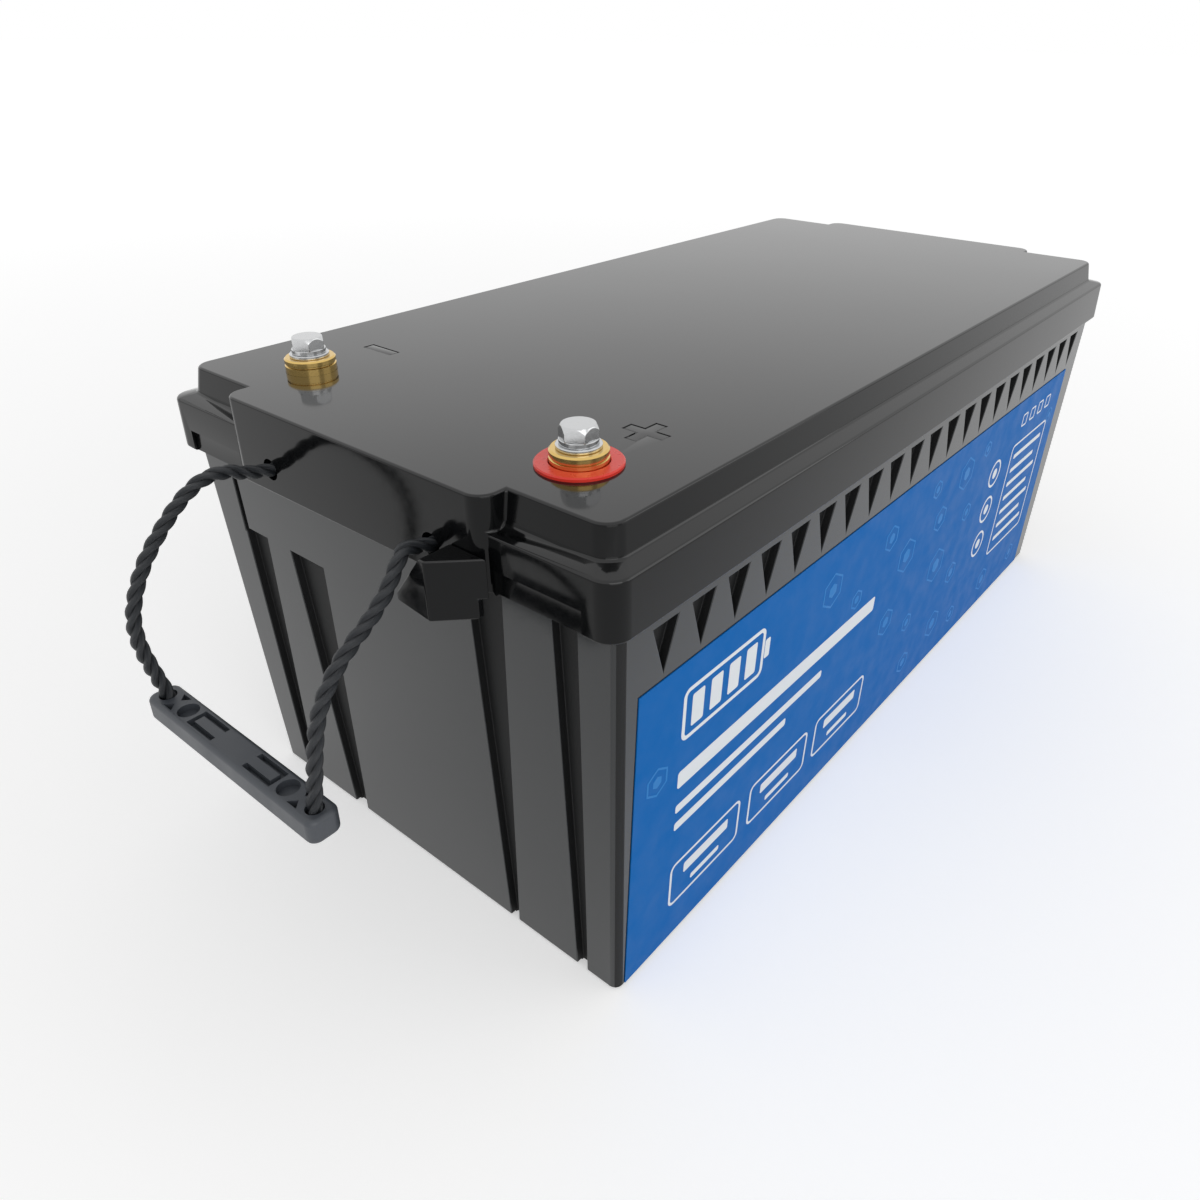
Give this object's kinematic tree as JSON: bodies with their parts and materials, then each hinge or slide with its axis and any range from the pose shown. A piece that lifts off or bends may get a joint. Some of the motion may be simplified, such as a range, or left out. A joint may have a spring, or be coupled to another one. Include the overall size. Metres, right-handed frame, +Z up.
{
  "type": "deep cycle battery",
  "caption": "Rectangular leisure battery with a stepped lid, bolt-down brass terminals, a framed label and a swinging rope handle with a moulded grip at each end.",
  "frame": {"origin": "middle of the flat underside of the case", "axes": "+X along the case away from the terminals, +Y across it away from the label, +Z up"},
  "size_m": [0.63, 0.268, 0.2434],
  "materials": {
    "case_black": "gloss moulded ABS",
    "lid_black": "gloss moulded ABS",
    "seal": "matt",
    "label": "satin printed film",
    "ring_red": "satin",
    "terminal_brass": "polished",
    "fastener_steel": "bright",
    "rope": "twisted synthetic rope",
    "grip_black": "satin moulded plastic",
    "zinc_steel": "zinc plated",
    "cell_wrap": "aluminium can in blue film",
    "insulation": "matt sheet",
    "foam": "closed cell foam",
    "copper": "bare copper",
    "heat_plate": "milled",
    "heater": "polyimide film",
    "radio": "blue circuit module",
    "board": "circuit board",
    "cable_red": "silicone cable",
    "cable_black": "silicone cable"
  },
  "bodies": {
    "battery": {"case": "case_black", "lid": "lid_black", "lid_seal": "seal", "label": "label", "corner_guard": "lid_black", "positive_ring": "ring_red", "positive_bush": "terminal_brass", "negative_bush": "terminal_brass", "front_rope_stubs": "rope", "front_anchor_washers": "zinc_steel", "front_anchor_knots": "rope", "rear_rope_stubs": "rope", "rear_anchor_washers": "zinc_steel", "rear_anchor_knots": "rope", "cell_1": "cell_wrap", "cell_2": "cell_wrap", "cell_3": "cell_wrap", "cell_4": "cell_wrap", "cell_5": "cell_wrap", "cell_6": "cell_wrap", "cell_7": "cell_wrap", "cell_8": "cell_wrap", "cell_separators": "insulation", "base_pad": "foam", "heater_film": "heater", "side_pads": "foam", "end_pad": "foam", "bulkhead": "insulation", "cell_cover": "insulation", "series_busbars": "copper", "positive_link_bar": "copper", "negative_link_bar": "copper", "cell_nuts": "zinc_steel", "bms_heat_plate": "heat_plate", "bms_standoffs": "terminal_brass", "bms_board": "board", "bluetooth_module": "radio", "positive_cable": "cable_red", "negative_cable": "cable_black", "bms_cable": "cable_black", "cable_lugs": "copper"},
    "positive_fastener": {"positive_bolt": "fastener_steel", "positive_spring_washer": "fastener_steel", "positive_washer": "fastener_steel"},
    "negative_fastener": {"negative_bolt": "fastener_steel", "negative_spring_washer": "fastener_steel", "negative_washer": "fastener_steel"},
    "front_handle": {"front_rope_near": "rope", "front_rope_far": "rope", "front_grip": "grip_black", "front_grip_knots": "rope"},
    "rear_handle": {"rear_rope_near": "rope", "rear_rope_far": "rope", "rear_grip": "grip_black", "rear_grip_knots": "rope"}
  },
  "joints": [
    {"name": "front_handle_swing", "type": "hinge", "parent": "battery", "child": "front_handle", "pos_m": [-0.275, 0, 0.204], "axis": [0, 1, 0], "range_deg": [-10, 85]},
    {"name": "rear_handle_swing", "type": "hinge", "parent": "battery", "child": "rear_handle", "pos_m": [0.275, 0, 0.204], "axis": [0, -1, 0], "range_deg": [-10, 105]},
    {"name": "positive_bolt_lift", "type": "slide", "parent": "battery", "child": "positive_fastener", "axis": [0, 0, 1], "range_m": [0, 0.03]},
    {"name": "negative_bolt_lift", "type": "slide", "parent": "battery", "child": "negative_fastener", "axis": [0, 0, 1], "range_m": [0, 0.03]}
  ]
}
